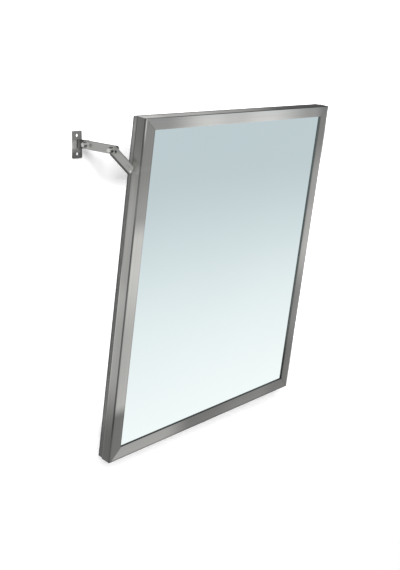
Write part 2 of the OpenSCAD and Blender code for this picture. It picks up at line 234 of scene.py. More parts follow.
class Value:
    """An output socket that takes part in arithmetic. Each operation adds a Math node."""

    def __init__(self, graph, socket):
        self.graph = graph
        self.socket = socket

    def __add__(self, other):
        return self.graph.math("ADD", self, other)

    def __sub__(self, other):
        return self.graph.math("SUBTRACT", self, other)

    def __rsub__(self, other):
        return self.graph.math("SUBTRACT", other, self)

    def __mul__(self, other):
        return self.graph.math("MULTIPLY", self, other)

    def __truediv__(self, other):
        return self.graph.math("DIVIDE", self, other)

    __radd__ = __add__
    __rmul__ = __mul__


class Graph:
    """A shader or geometry node tree in which any node is made by one call of add()."""

    def __init__(self, tree):
        self.tree = tree

    def add(self, kind, settings=None, inputs=None, output=0):
        """Adds a node and gives the output asked for, or the node itself if it has no outputs."""
        node = self.tree.nodes.new(kind)
        for name, value in (settings or {}).items():
            setattr(node, name, value)
        for key, value in (inputs or {}).items():
            self.feed(pick(node.inputs, key), value)
        if not node.outputs:
            return node
        return Value(self, pick(node.outputs, output))

    def feed(self, socket, value):
        if isinstance(value, Value):
            self.tree.links.new(value.socket, socket)
        elif socket.type == "RGBA":
            socket.default_value = (*value, 1)
        else:
            socket.default_value = value

    def math(self, operation, *values):
        return self.add("ShaderNodeMath", {"operation": operation}, dict(enumerate(values)))

    def vector(self, operation, *values):
        output = "Value" if operation == "LENGTH" else "Vector"
        return self.add("ShaderNodeVectorMath", {"operation": operation}, dict(enumerate(values)), output)

    def split(self, vector):
        node = self.add("ShaderNodeSeparateXYZ", None, {0: vector}).socket.node
        return [Value(self, socket) for socket in node.outputs]

    def join(self, x, y, z):
        return self.add("ShaderNodeCombineXYZ", None, {0: x, 1: y, 2: z})

    def smooth(self, value, low, high):
        """0 below low, 1 above high, and a smooth step between."""
        inputs = {"Value": value, "From Min": low, "From Max": high}
        return self.add("ShaderNodeMapRange", {"interpolation_type": "SMOOTHSTEP"}, inputs)

    def blend(self, a, b, factor):
        inputs = {"Factor_Float": factor, "A_Color": a, "B_Color": b}
        return self.add("ShaderNodeMix", {"data_type": "RGBA"}, inputs, "Result_Color")

    def shade(self, colour, factor):
        """A colour made lighter or darker by a number."""
        return self.add("ShaderNodeVectorMath", {"operation": "SCALE"}, {0: colour, "Scale": factor})

    def noise(self, vector, scale, detail, roughness, output=0):
        inputs = {"Vector": vector, "Scale": scale, "Detail": detail, "Roughness": roughness}
        return self.add("ShaderNodeTexNoise", None, inputs, output)

    def cells(self, vector, scale, output="Color"):
        return self.add("ShaderNodeTexVoronoi", None, {"Vector": vector, "Scale": scale}, output)


# ---- Materials ----


def new_material(name):
    material = bpy.data.materials.new(name)
    material.use_nodes = True
    material.node_tree.nodes.clear()
    return material, Graph(material.node_tree)


def object_coordinates(graph):
    return graph.add("ShaderNodeTexCoord", None, None, "Object")


def turned_coordinates(graph, origin=(0, 0, 0), turn=0.0):
    """Places in a frame that stands at origin and is turned about X."""
    inputs = {"Vector": object_coordinates(graph), "Location": origin, "Rotation": (turn, 0, 0)}
    return graph.add("ShaderNodeMapping", {"vector_type": "TEXTURE"}, inputs)


def mirror_coordinates(graph):
    return turned_coordinates(graph, ON_MIRROR.translation, TILT)


def finish_surface(graph, colour, roughness, height, depth, metallic=1.0):
    """Ends a material in a Principled shader. depth is the relief's real depth."""
    bump = graph.add("ShaderNodeBump", None, {"Strength": 1.0, "Distance": depth, "Height": height})
    inputs = {"Base Color": colour, "Roughness": roughness, "Metallic": metallic, "Normal": bump}
    shader = graph.add("ShaderNodeBsdfPrincipled", None, inputs)
    graph.add("ShaderNodeOutputMaterial", None, {"Surface": shader})


def brushed_grain(graph, places, along):
    """Streaks that run along one axis: coarse ones that show from a step away, and fine ones."""
    stretch = [1.0, 1.0, 1.0]
    stretch[along] = 0.012
    stretched = graph.vector("MULTIPLY", places, stretch)
    coarse = graph.noise(stretched, 330, 4, 0.62)
    fine = graph.noise(stretched, 2600, 2, 0.5)
    return coarse, fine


def brushed_steel(name, colour, along, places_of, sheen_of, metallic_of=None):
    """Satin steel, brushed along one axis of its own frame. sheen_of gives its lighter and darker places."""
    material, graph = new_material(name)
    places = places_of(graph)
    coarse, fine = brushed_grain(graph, places, along)
    clouds = graph.noise(places, 9, 3, 0.55)
    tone = 0.72 + coarse * 0.30 + fine * 0.10 + clouds * 0.16
    colour = graph.shade(colour, tone * sheen_of(graph, places))
    rough = 0.19 + coarse * 0.14 + fine * 0.06 + clouds * 0.04
    metallic = metallic_of(graph, places) if metallic_of else 1.0
    finish_surface(graph, colour, rough, coarse * 0.5 + fine * 0.5, 0.02 * MM, metallic)
    return material


def stepped(graph, at, start, steps):
    """A level that changes smoothly from start by each step's amount. A step is (from, to, change)."""
    level = start
    for low, high, change in steps:
        level = level + change * graph.smooth(at, low, high)
    return level


def member_sheen(along, face, flange, bend):
    """Painted sheen and shade of a frame member along its length: its face, its flange and the bend between
    them are each painted lighter and darker in steps. Each is a start level and the steps from there. The
    flange's back edge is painted lighter low down and darker high up."""

    def sheen_of(graph, places):
        x, y, z = graph.split(places)
        at = (x, y, z)[along]
        on_face = stepped(graph, at, *face)
        on_flange = stepped(graph, at, *flange)
        on_bend = stepped(graph, at, *bend)
        is_flange = graph.smooth(y, 0.2 * MM, 0.9 * MM)
        is_bend = graph.smooth(y, 0.1 * MM, 0.6 * MM) * (1 - graph.smooth(y, 2.8 * MM, 4.0 * MM))
        is_edge = graph.smooth(y, FLANGE_D - 2.2 * MM, FLANGE_D - 1.4 * MM)
        on_flange = on_flange * (1 + is_edge * (0.3 - 0.6 * graph.smooth(z, 0.33, 0.37)))
        on_face = on_face * (1 - FACE_SHADE * face_shade(graph, x, z))
        level = on_face + (on_flange - on_face) * is_flange
        level = level * (1 + (on_bend - 1) * is_bend) * (1 + corner_glint(graph, x, y, z) * CORNER_GLINT)
        return level * mitre_line(graph, x, z)

    return sheen_of


def face_shade(graph, x, z):
    """Painted shade: 1 on the lower edge of the face, half that by the glass at the sides, and 0 elsewhere."""
    lower = 1 - graph.smooth(z, 3.0 * MM, 4.6 * MM)
    inner = 1 - graph.smooth(graph.math("ABSOLUTE", x), FRAME_W / 2 - 21.5 * MM, FRAME_W / 2 - 20.5 * MM)
    beside_glass = graph.smooth(z, 24 * MM, 26 * MM) * (1 - graph.smooth(z, 0.578, 0.58))
    return lower + 0.5 * inner * (1 - lower) * beside_glass


def corner_glint(graph, x, y, z):
    """Painted glint: 1 on the front edges of the sides by the upper corners, and 0 elsewhere."""
    outer = graph.smooth(graph.math("ABSOLUTE", x), FRAME_W / 2 - 3.4 * MM, FRAME_W / 2 - 2.6 * MM)
    return outer * (1 - graph.smooth(y, 0.7 * MM, 1.2 * MM)) * graph.smooth(z, 0.55, 0.585)


def rubbed_matt(graph, places):
    """How metallic a side's surface is: less beside the arm's end, where the arm has rubbed it matt."""
    pivot = ON_MIRROR.inverted() @ FRAME_PIVOT
    _, y, z = graph.split(places)
    off = graph.vector("LENGTH", graph.join(0.0, y - pivot.y + RUBBED_AHEAD, z - pivot.z))
    return 1 - RUBBED * (1 - graph.smooth(off, *RUBBED_RADIUS))


def link_sheen(width, edge, spots, inside=0.0):
    """Painted sheen and shade of a link: its lower edge and a strip along its upper edge are painted darker,
    and there are painted darker and lighter spots. edge is the depth of that painted shade and its strength. A
    spot is where it lies along and across, its radius and its change. inside is how much brighter the face
    towards the frame is painted."""

    def sheen_of(graph, places):
        x, along, across = graph.split(places)
        outside = graph.smooth(graph.math("ABSOLUTE", x), LINK_INSIDE, LINK_INSIDE + 0.4 * MM)
        lower = graph.smooth(across, width / 2 - edge[0] - 0.4 * MM, width / 2 - edge[0] + 0.4 * MM)
        upper = 1 - graph.smooth(across, 0.8 * MM - width / 2, 1.8 * MM - width / 2)
        level = (1 - lower * edge[1]) * (1 - upper * 0.25) * (1 + inside * (1 - outside))
        for at_along, at_across, radius, change in spots:
            off = graph.vector("LENGTH", graph.join(0.0, along - at_along, across - at_across))
            level = level * (1 + change * (1 - graph.smooth(off, radius * 0.55, radius * 1.2)))
        return level

    return sheen_of


def mitre_line(graph, x, z):
    """A fine dark line where two members meet."""
    in_from_side = FRAME_W / 2 - graph.math("ABSOLUTE", x)
    off_lower = graph.math("ABSOLUTE", in_from_side - z)
    off_upper = graph.math("ABSOLUTE", in_from_side - (FRAME_H - z) * (FACE_W / TOP_FACE_W))
    off_line = graph.math("MINIMUM", off_lower, off_upper)
    return MITRE_LEVEL + (1 - MITRE_LEVEL) * graph.smooth(off_line, 0.3 * MM, 0.9 * MM)


def pan_sheen(graph, places):
    """Painted shade and sheen on the pan: its side wall is painted darker up to its upper corner and its top
    painted lighter at the left. A dark seam of painted shade runs along the frame's edge, the side is darker
    towards its back edge, and spot welds hold the crossbars on its back."""
    x, y, z = graph.split(places)
    side = stepped(graph, z, *PAN_SIDE)
    top = stepped(graph, x, *PAN_TOP)
    level = side + (top - side) * graph.smooth(z, FRAME_H - 9.5 * MM, FRAME_H - 3 * MM)
    # Painted shade along the seam below the flange's edge
    seam_shade = 1 - graph.smooth(y, FLANGE_D + 1.0 * MM, FLANGE_D + 2.4 * MM)
    rim = graph.smooth(y, TOTAL_D - 3.2 * MM, TOTAL_D - 2.2 * MM)
    level = level * (1 - seam_shade * 0.65) * (1 - rim * 0.35)
    on_back = graph.smooth(y, TOTAL_D - 0.12 * MM, TOTAL_D - 0.02 * MM)
    return (level + (PAN_BACK - level) * on_back) * spot_welds(graph, x, y, z)


def spot_welds(graph, x, y, z):
    """Round dark marks in rows over the crossbars."""
    off_x = graph.math("PINGPONG", x - SPOT_PITCH / 2, SPOT_PITCH / 2)
    marks = 1.0
    for height in CROSSBAR_UP:
        off = graph.vector("LENGTH", graph.join(off_x, 0.0, z - height))
        ring = graph.smooth(off, 1.6 * MM, 2.4 * MM) * (1 - graph.smooth(off, 2.4 * MM, 4.5 * MM))
        marks = marks - ring * WELD_MARK
    on_back = graph.smooth(y, TOTAL_D - 1 * MM, TOTAL_D - 0.5 * MM)
    return 1 + (marks - 1) * on_back


def plain_sheen(graph, places):
    return 1.0


def galvanised(name, colour, places_of, sheen_of=plain_sheen):
    """Zinc-coated sheet: faint spangles in crystal shapes, with a dull bloom over them."""
    material, graph = new_material(name)
    places = places_of(graph)
    bent = graph.noise(places, 45, 2, 0.5, "Color")
    bent = graph.vector("ADD", places, graph.shade(bent, 6 * MM))
    spangle = graph.split(graph.cells(bent, 105))[0]
    small = graph.split(graph.cells(bent, 340))[1]
    bloom = graph.noise(places, 14, 4, 0.6)
    tone = 0.72 + spangle * 0.22 + small * 0.08 + bloom * 0.26
    rough = 0.34 + spangle * 0.14 + bloom * 0.12
    tone = tone * sheen_of(graph, places)
    finish_surface(graph, graph.shade(colour, tone), rough, spangle * 0.3 + bloom * 0.7, 0.03 * MM, 0.95)
    return material


def nut_sheen(axis):
    """Painted highlight and shade on the facets of a nut: bright where they face the room, dark on top and
    below. axis is the nut's.
    """

    def sheen_of(graph, places):
        _, y, z = graph.split(places)
        ahead, up = axis.y - y, z - axis.z
        turn = graph.math("ARCTAN2", up, ahead)
        off = graph.vector("LENGTH", graph.join(0.0, ahead, up))
        level = stepped(graph, turn, *NUT_FACETS)
        return 1 + (level - 1) * graph.smooth(off, 3.9 * MM, 4.25 * MM)

    return sheen_of


def plated(name, colour, roughness=0.22, sheen_of=plain_sheen):
    """Bright plated steel with fine scratches in all directions and a little soiling."""
    material, graph = new_material(name)
    places = turned_coordinates(graph)
    scratches = graph.noise(graph.vector("MULTIPLY", places, (1.0, 0.15, 1.0)), 3200, 3, 0.6)
    soil = graph.noise(places, 420, 3, 0.6)
    tone = (0.80 + scratches * 0.14 + soil * 0.22) * sheen_of(graph, places)
    rough = roughness - 0.06 + soil * 0.14 + scratches * 0.05
    finish_surface(graph, graph.shade(colour, tone), rough, scratches, 0.008 * MM)
    return material


def dark_plate_steel(name):
    """Dark mill-finish steel. The plate's middle was ground clean for the lug. The lug has painted shade,
    darkest away from the plate, and the plate is darker towards its lower end.
    """
    material, graph = new_material(name)
    places = turned_coordinates(graph)
    mottle = graph.noise(places, 160, 4, 0.6)
    fine = graph.noise(places, 1300, 3, 0.6)
    _, y, z = graph.split(places)
    on_plate = graph.smooth(y, -PLATE_T - 1.0 * MM, -PLATE_T - 0.1 * MM)
    from_middle = graph.math("ABSOLUTE", z - (WALL_PIVOT.z - PLATE_DROP))
    ground = (1 - graph.smooth(from_middle + mottle * 5 * MM, 7 * MM, 12 * MM)) * 0.85 * on_plate
    colour = graph.blend(PLATE_STEEL, GROUND_STEEL, ground)
    # Painted shade on the lug, darkest away from the plate, and the piece darker towards its lower end
    shade = 0.38 + 0.52 * graph.smooth(y, -PLATE_T - 10 * MM, -PLATE_T - 2 * MM)
    lower_end = 1 - graph.smooth(z, WALL_PIVOT.z - 17 * MM, WALL_PIVOT.z - 11 * MM)
    tone = (0.60 + mottle * 0.5 + fine * 0.18) * shade * (1 - lower_end * 0.45)
    rough = 0.36 + mottle * 0.16 + fine * 0.08
    metallic = 0.9 - on_plate * 0.4 - ground * 0.2
    finish_surface(graph, graph.shade(colour, tone), rough, mottle * 0.6 + fine * 0.4, 0.04 * MM, metallic)
    return material


def silvered_glass(name):
    """Silvered float glass: near perfect, with the faintest ripple and wiping marks, and a painted reflection
    that is bluer higher up.
    """
    material, graph = new_material(name)
    places = mirror_coordinates(graph)
    ripple = graph.noise(places, 5, 1, 0.4)
    wiping = graph.noise(graph.vector("MULTIPLY", places, (1.0, 1.0, 0.35)), 24, 4, 0.65)
    marks = graph.smooth(wiping, 0.5, 0.8)
    height = graph.split(places)[2]
    painted_reflection_tint = graph.blend(GLASS_LOW, GLASS_HIGH, graph.smooth(height, 0.05, 0.55))
    colour = graph.shade(painted_reflection_tint, 0.985 + ripple * 0.03)
    finish_surface(graph, colour, 0.012 + marks * 0.035, ripple, 0.02 * MM)
    return material


def black_rubber(name):
    """The gasket's rubber: near black with a little dust, and greyer along the right of the glass."""
    material, graph = new_material(name)
    places = mirror_coordinates(graph)
    dust = graph.noise(places, 260, 4, 0.65)
    pores = graph.noise(places, 1900, 2, 0.5)
    x, _, z = graph.split(places)
    # A greyer strip along the right of the glass, from a little above its lower edge
    right_greyer = graph.smooth(x, FRAME_W / 2 - 24 * MM, FRAME_W / 2 - 23 * MM) * graph.smooth(z, 0.06, 0.13)
    colour = graph.blend(RUBBER, RUBBER_DUST, graph.smooth(dust, 0.6, 0.9))
    colour = graph.blend(colour, RUBBER_RIGHT_GREY, right_greyer)
    finish_surface(graph, colour, 0.5 + dust * 0.25, pores, 0.03 * MM, 0.0)
    return material


def foam(name):
    material, graph = new_material(name)
    places = mirror_coordinates(graph)
    pores = graph.cells(places, 900, "Distance")
    shade = graph.noise(places, 30, 3, 0.5)
    colour = graph.shade(FOAM_GREY, 0.7 + shade * 0.3 + pores * 0.4)
    finish_surface(graph, colour, 0.9 + shade * 0.08, pores, 0.2 * MM, 0.0)
    return material


def hardboard(name):
    material, graph = new_material(name)
    places = mirror_coordinates(graph)
    fibres = graph.noise(graph.vector("MULTIPLY", places, (1.0, 1.0, 0.4)), 900, 5, 0.7)
    flecks = graph.cells(places, 420, "Distance")
    blotch = graph.noise(places, 12, 3, 0.5)
    colour = graph.shade(BOARD_BROWN, 0.6 + fibres * 0.5 + blotch * 0.2 + flecks * 0.2)
    finish_surface(graph, colour, 0.55 + fibres * 0.2, fibres, 0.05 * MM, 0.0)
    return material


def nylon(name):
    material, graph = new_material(name)
    places = turned_coordinates(graph)
    haze = graph.noise(places, 380, 3, 0.5)
    colour = graph.shade(NATURAL_NYLON, 0.88 + haze * 0.24)
    finish_surface(graph, colour, 0.38 + haze * 0.16, haze, 0.03 * MM, 0.0)
    return material


# ---- Meshes ----

WELD_DISTANCE = 1e-6
FLAT_ANGLE = math.radians(0.6)
SHARP_ANGLE = math.radians(28)
TURNED_SEGMENTS = 48


def new_piece(name, mesh, material):
    piece = bpy.data.objects.new(name, mesh)
    bpy.context.scene.collection.objects.link(piece)
    mesh.materials.clear()
    mesh.materials.append(material)
    return piece


def mesh_from(name, bm):
    mesh = bpy.data.meshes.new(name)
    bm.to_mesh(mesh)
    bm.free()
    return mesh


def merged_copy(node):
    """A CAD node's shape with its loose triangles joined into whole faces."""
    bm = bmesh.new()
    bm.from_mesh(frame["nodes"][node].data)
    bmesh.ops.remove_doubles(bm, verts=bm.verts, dist=WELD_DISTANCE)
    bmesh.ops.dissolve_limit(bm, angle_limit=FLAT_ANGLE, verts=bm.verts, edges=bm.edges)
    return bm


def evaluated_mesh(piece):
    """The piece's mesh with its modifiers applied and removed."""
    depsgraph = bpy.context.evaluated_depsgraph_get()
    depsgraph.update()
    mesh = bpy.data.meshes.new_from_object(piece.evaluated_get(depsgraph))
    piece.modifiers.clear()
    return mesh


def soften(piece, width, angle=30):
    """Rounds every edge sharper than angle and keeps the flats flat."""
    for face in piece.data.polygons:
        face.use_smooth = True
    bevel = piece.modifiers.new("edges", "BEVEL")
    bevel.width = width
    bevel.segments = 2
    bevel.limit_method = "ANGLE"
    bevel.angle_limit = math.radians(angle)
    bevel.harden_normals = True
    bevel.use_clamp_overlap = True
    piece.data = evaluated_mesh(piece)


def place_piece(piece, body, nodes=()):
    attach(piece, body)
    if nodes:
        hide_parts(*nodes)


def finished_copy(node, body, material, width):
    """The CAD shape of a node with softened edges, in its place."""
    piece = new_piece(node + "_finished", mesh_from(node, merged_copy(node)), material)
    soften(piece, width)
    place_piece(piece, body, [node])


def dress(node, material):
    """Gives a CAD node that keeps its own shape a material."""
    for slot in frame["nodes"][node].material_slots:
        slot.material = material


def on_axis(node):
    """Where a round node lies: its inner end's distance from the middle, and its axis as y and z."""
    low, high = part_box(node)
    return min(abs(low.x), abs(high.x)), (low.y + high.y) / 2, (low.z + high.z) / 2


def ring_point(ring, angle):
    """How far out and away from the axis a ring lies at an angle. A ring is its distance outwards and its
    radius, and its kind if it isn't plain: "hex" with its chamfer, or "thread" with its depth."""
    out, radius, kind, amount = (*ring, None, 0)[:4]
    if kind == "hex":
        off_flat = (math.degrees(angle) + 30) % 60 - 30
        reach = radius / math.cos(math.radians(off_flat))
        return out - amount * (reach - radius) * math.tan(math.radians(30)), reach
    if kind == "thread":
        turns = out / THREAD_PITCH - angle / math.tau
        return out, radius - amount * abs(2 * (turns % 1) - 1)
    return out, radius


def turned_mesh(node, side, rings, bored):
    """A turned piece on a node's axis, its rings in order from the node's inner end."""
    inner, axis_y, axis_z = on_axis(node)
    bm = bmesh.new()
    loops = []
    for ring in rings:
        loop = []
        for k in range(TURNED_SEGMENTS):
            angle = math.tau * k / TURNED_SEGMENTS
            out, reach = (size * MM for size in ring_point(ring, angle))
            x = SIDES[side] * (inner + out)
            loop.append(bm.verts.new((x, axis_y + reach * math.cos(angle), axis_z + reach * math.sin(angle))))
        loops.append(loop)
    pairs = list(zip(loops, loops[1:]))
    if bored:
        pairs.append((loops[-1], loops[0]))
    for one, other in pairs:
        for k in range(TURNED_SEGMENTS):
            j = (k + 1) % TURNED_SEGMENTS
            bm.faces.new((one[k], one[j], other[j], other[k]))
    if not bored:
        bm.faces.new(loops[0])
        bm.faces.new(loops[-1])
    bmesh.ops.recalc_face_normals(bm, faces=bm.faces)
    for face in bm.faces:
        face.smooth = True
    mesh = mesh_from(node, bm)
    mesh.set_sharp_from_angle(angle=SHARP_ANGLE)
    return mesh


def turned_piece(node, side, rings, body, material, bored=False):
    name = f"{node}_{side}"
    piece = new_piece(name + "_turned", turned_mesh(name, side, rings, bored), material)
    place_piece(piece, body, [name])


def threaded(start, end, radius):
    """The rings of a screw thread from start to end, run in at both ends."""
    steps = round((end - start) / THREAD_STEP)
    rings = []
    for step in range(steps + 1):
        out = start + (end - start) * step / steps
        run = min(1, 2 * (out - start), 2 * (end - out) + 0.3)
        rings.append((out, radius, "thread", THREAD_DEPTH * max(run, 0)))
    return rings


# ---- Geometry node trees ----


def new_tree(name, sizes):
    """An empty geometry tree with one named input for each size, and a Material input."""
    tree = bpy.data.node_groups.new(name, "GeometryNodeTree")
    for size, kind in sizes.items():
        tree.interface.new_socket(size, in_out="INPUT", socket_type=kind)
    tree.interface.new_socket("Material", in_out="INPUT", socket_type="NodeSocketMaterial")
    tree.interface.new_socket("Geometry", in_out="OUTPUT", socket_type="NodeSocketGeometry")
    graph = Graph(tree)
    group = tree.nodes.new("NodeGroupInput")
    values = {socket.name: Value(graph, socket) for socket in group.outputs if socket.name}
    return tree, graph, values


def close_tree(graph, geometry, material):
    realized = graph.add("GeometryNodeRealizeInstances", None, {0: geometry})
    dressed = graph.add("GeometryNodeSetMaterial", None, {"Geometry": realized, "Material": material})
    graph.add("NodeGroupOutput", None, {0: dressed})


def grown(name, tree, sizes, material):
    """The plain mesh that a tree makes from these sizes."""
    carrier = bpy.data.objects.new(name, bpy.data.meshes.new(name))
    bpy.context.scene.collection.objects.link(carrier)
    modifier = carrier.modifiers.new("nodes", "NODES")
    modifier.node_group = tree
    given = {**sizes, "Material": material}
    for item in tree.interface.items_tree:
        if item.in_out == "INPUT":
            modifier[item.identifier] = given[item.name]
    mesh = evaluated_mesh(carrier)
    bpy.data.objects.remove(carrier)
    return mesh


def mitred_member_tree():
    """A length of steel angle, bent from sheet and mitred at both ends. It lies along X with its outside down;
    y is its depth and z the distance inwards. Start Cut and End Cut are how far each mitre runs in along X
    for each unit of z. The bar is drawn from x = 0 to 2, and then each end is moved to its mitre."""
    names = ("Length", "Face", "Flange", "Sheet", "Bend", "Start Cut", "End Cut")
    sizes = dict.fromkeys(names, "NodeSocketFloat")
    tree, graph, value = new_tree("mitred_member", sizes)
    middle = value["Sheet"] / 2
    line = graph.add("GeometryNodeMeshLine", None, {"Count": 3})
    line = graph.add("GeometryNodeMeshToCurve", None, {0: line})
    step = graph.add("GeometryNodeInputIndex")
    inwards = middle + (value["Face"] - middle) * graph.math("MAXIMUM", 1 - step, 0)
    depth = middle + (value["Flange"] - middle) * graph.math("MAXIMUM", step - 1, 0)
    corner = {"Geometry": line, "Position": graph.join(0.0, depth, inwards)}
    line = graph.add("GeometryNodeSetPosition", None, corner)
    bend = {"Curve": line, "Radius": value["Bend"] - middle, "Count": 7}
    section = graph.add("GeometryNodeFilletCurve", {"mode": "POLY"}, bend)
    facing = {"Curve": section, "Normal": (1, 0, 0)}
    section = graph.add("GeometryNodeSetCurveNormal", {"mode": "FREE"}, facing)
    thickness = {"Start": graph.join(0.0, 0 - middle, 0.0), "End": graph.join(0.0, middle, 0.0)}
    across = graph.add("GeometryNodeCurvePrimitiveLine", None, thickness)
    area = graph.add("GeometryNodeCurveToMesh", None, {"Curve": section, "Profile Curve": across})
    drawn = {"Mesh": area, "Offset": (1, 0, 0), "Offset Scale": 2.0, "Individual": False}
    bar = graph.add("GeometryNodeExtrudeMesh", {"mode": "FACES"}, drawn)
    start = graph.add("GeometryNodeFlipFaces", None, {0: area})
    both = graph.add("GeometryNodeJoinGeometry")
    for geometry in (bar, start):
        graph.feed(both.socket.node.inputs[0], geometry)
    whole = graph.add("GeometryNodeMergeByDistance", None, {"Geometry": both, "Distance": WELD_DISTANCE})
    x, y, z = graph.split(graph.add("GeometryNodeInputPosition"))
    slope = value["Start Cut"] + (value["End Cut"] - value["Start Cut"]) * x / 2
    cut = graph.join((x - 1) * (value["Length"] / 2 - z * slope), y, z)
    whole = graph.add("GeometryNodeSetPosition", None, {"Geometry": whole, "Position": cut})
    close_tree(graph, whole, value["Material"])
    return tree


def screw_tree():
    """Socket-head screws in two groups. Each stands along Z with its head's underside at z = 0. Wide Pitch is
    the distance between the groups, Near Pitch and Row Pitch are the distances inside a group."""
    names = (
        "Head Radius", "Head Height", "Shank Radius", "Shank Length", "Socket Radius", "Socket Depth",
        "Wide Pitch", "Near Pitch", "Row Pitch",
    )
    sizes = {**dict.fromkeys(names, "NodeSocketFloat"), "Rows": "NodeSocketInt"}
    tree, graph, value = new_tree("socket_head_screws", sizes)
    height, length = value["Head Height"], value["Shank Length"]

    def rod(radius, depth, middle, sides):
        inputs = {"Vertices": sides, "Radius": radius, "Depth": depth}
        mesh = graph.add("GeometryNodeMeshCylinder", None, inputs)
        place = {"Geometry": mesh, "Translation": graph.join(0.0, 0.0, middle)}
        return graph.add("GeometryNodeTransform", None, place)

    head = rod(value["Head Radius"], height, height / 2, 40)
    shank = rod(value["Shank Radius"], length + height / 2, (height / 2 - length) / 2, 32)
    socket = rod(value["Socket Radius"], value["Socket Depth"] * 2, height, 6)
    whole = graph.add("GeometryNodeMeshBoolean", {"operation": "UNION"}, {"Mesh 2": head})
    graph.feed(pick(whole.socket.node.inputs, "Mesh 2"), shank)
    cut = {"Mesh 1": whole, "Mesh 2": socket}
    screw = graph.add("GeometryNodeMeshBoolean", {"operation": "DIFFERENCE"}, cut)
    groups = graph.add(
        "GeometryNodeMeshGrid", None, {"Size X": value["Wide Pitch"], "Vertices X": 2, "Vertices Y": 1}
    )
    pitches = {"Size X": value["Near Pitch"], "Size Y": value["Row Pitch"]}
    near = graph.add("GeometryNodeMeshGrid", None, {**pitches, "Vertices X": 2, "Vertices Y": value["Rows"]})
    places = graph.add("GeometryNodeInstanceOnPoints", None, {"Points": groups, "Instance": near})
    places = graph.add("GeometryNodeRealizeInstances", None, {0: places})
    screws = graph.add("GeometryNodeInstanceOnPoints", None, {"Points": places, "Instance": screw})
    close_tree(graph, screws, value["Material"])
    return tree


def weld_tree():
    """A weld bead along Z: drops of uneven size that run into each other."""
    sizes = {**dict.fromkeys(("Length", "Radius", "Pitch"), "NodeSocketFloat"), "Seed": "NodeSocketInt"}
    tree, graph, value = new_tree("weld_bead", sizes)
    half = value["Length"] / 2
    ends = {"Start": graph.join(0.0, 0.0, 0 - half), "End": graph.join(0.0, 0.0, half)}
    line = graph.add("GeometryNodeCurvePrimitiveLine", None, ends)
    spaced = {"Curve": line, "Length": value["Pitch"]}
    line = graph.add("GeometryNodeResampleCurve", {"mode": "LENGTH"}, spaced)
    ball = {"Segments": 14, "Rings": 8, "Radius": value["Radius"]}
    drop = graph.add("GeometryNodeMeshUVSphere", None, ball)
    spread = {"Min_001": 0.8, "Max_001": 1.0, "Seed": value["Seed"]}
    uneven = graph.add("FunctionNodeRandomValue", {"data_type": "FLOAT"}, spread, "Value_001")
    bead = {"Points": line, "Instance": drop, "Scale": graph.join(uneven, uneven, uneven * 0.8)}
    close_tree(graph, graph.add("GeometryNodeInstanceOnPoints", None, bead), value["Material"])
    return tree


# ---- Assembly ----

joint_at = {joint["name"]: Vector(joint["pos_m"]) for joint in frame["joints"]}
WALL_PIVOT = joint_at["wall_pivot_left"]
ELBOW = joint_at["elbow_left"]
FRAME_PIVOT = Vector((0, *on_axis("frame_pivot_pin_left")[1:]))
LONG_LINK = (ELBOW - WALL_PIVOT).yz.length
SHORT_LINK = (FRAME_PIVOT - ELBOW).yz.length

# Painted shadows and highlights as spots: along and across the link, radius and change
LONG_SPOTS = [
    (7 * MM, 0.0, 5 * MM, 0.5),
    (LONG_LINK + 8 * MM, -5 * MM, 7 * MM, -0.75),
    (LONG_LINK - 2 * MM, -7 * MM, 4 * MM, -0.4),
]
SHORT_SPOTS = [(8.4 * MM, -3.2 * MM, 2.7 * MM, -0.85), (SHORT_LINK + 9.4 * MM, 1.4 * MM, 2.0 * MM, 0.9)]


def link_coordinates(start, end):
    """Coordinates with y along a link, from its start."""
    turn = math.atan2(end.z - start.z, end.y - start.y)

    def places_of(graph):
        return turned_coordinates(graph, (0, start.y, start.z), turn)

    return places_of


def make_frame_members():
    """Each member is made lying along X and turned about the middle of the frame. places holds its turn in
    degrees, its length, how far out it lies, its face width and those of the members at its start and end."""
    tree = mitred_member_tree()
    places = {
        "frame_bottom": (0, FRAME_W, FRAME_H / 2, FACE_W, FACE_W, FACE_W),
        "frame_left": (90, FRAME_H, FRAME_W / 2, FACE_W, TOP_FACE_W, FACE_W),
        "frame_top": (180, FRAME_W, FRAME_H / 2, TOP_FACE_W, FACE_W, FACE_W),
        "frame_right": (-90, FRAME_H, FRAME_W / 2, FACE_W, FACE_W, TOP_FACE_W),
    }
    for node, (turn, length, reach, face, start_face, end_face) in places.items():
        along = SHEENS[node][0]
        sheen = member_sheen(*SHEENS[node])
        metallic_of = rubbed_matt if along == 2 else None
        name = "brushed_" + node
        material = brushed_steel(name, FRAME_STEEL, along, mirror_coordinates, sheen, metallic_of)
        sizes = {"Length": length, "Face": face, "Flange": FLANGE_D, "Sheet": SHEET_T, "Bend": BEND_R}
        sizes.update({"Start Cut": start_face / face, "End Cut": end_face / face})
        mesh = grown(node, tree, sizes, material)
        mesh.transform(
            ON_MIRROR
            @ Matrix.Translation((0, 0, FRAME_H / 2))
            @ Matrix.Rotation(math.radians(turn), 4, "Y")
            @ Matrix.Translation((0, 0, -reach))
        )
        piece = new_piece(node + "_member", mesh, material)
        soften(piece, MEMBER_EDGE, 40)
        place_piece(piece, "mirror", [node])


make_frame_members()

